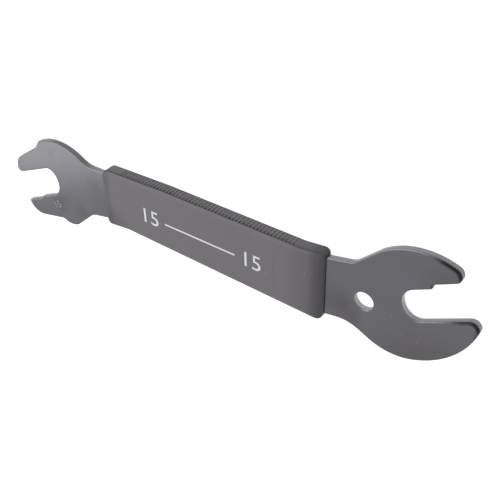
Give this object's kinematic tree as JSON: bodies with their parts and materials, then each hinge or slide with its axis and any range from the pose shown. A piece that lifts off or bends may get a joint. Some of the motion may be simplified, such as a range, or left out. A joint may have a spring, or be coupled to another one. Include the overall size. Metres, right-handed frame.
{
  "type": "pedal wrench",
  "caption": "Flat steel open-jaw pedal wrench with a larger and a smaller angled head, a hang hole and a moulded grip sleeve with cross grooves along its narrow edges.",
  "frame": {"origin": "centre of the hang hole in the large head, on the plate's middle plane", "axes": "+X along the tool, from the small head to the large head; +Z out of the broad front face, along the hang hole's axis; +Y across the tool, towards the side the large jaw opens to"},
  "size_m": [0.2559, 0.0718, 0.0072],
  "materials": {
    "black_steel": "satin black oxide",
    "grip": "satin"
  },
  "bodies": {
    "root": {"steel_blank": "black_steel", "handle_sleeve": "grip"}
  },
  "joints": []
}
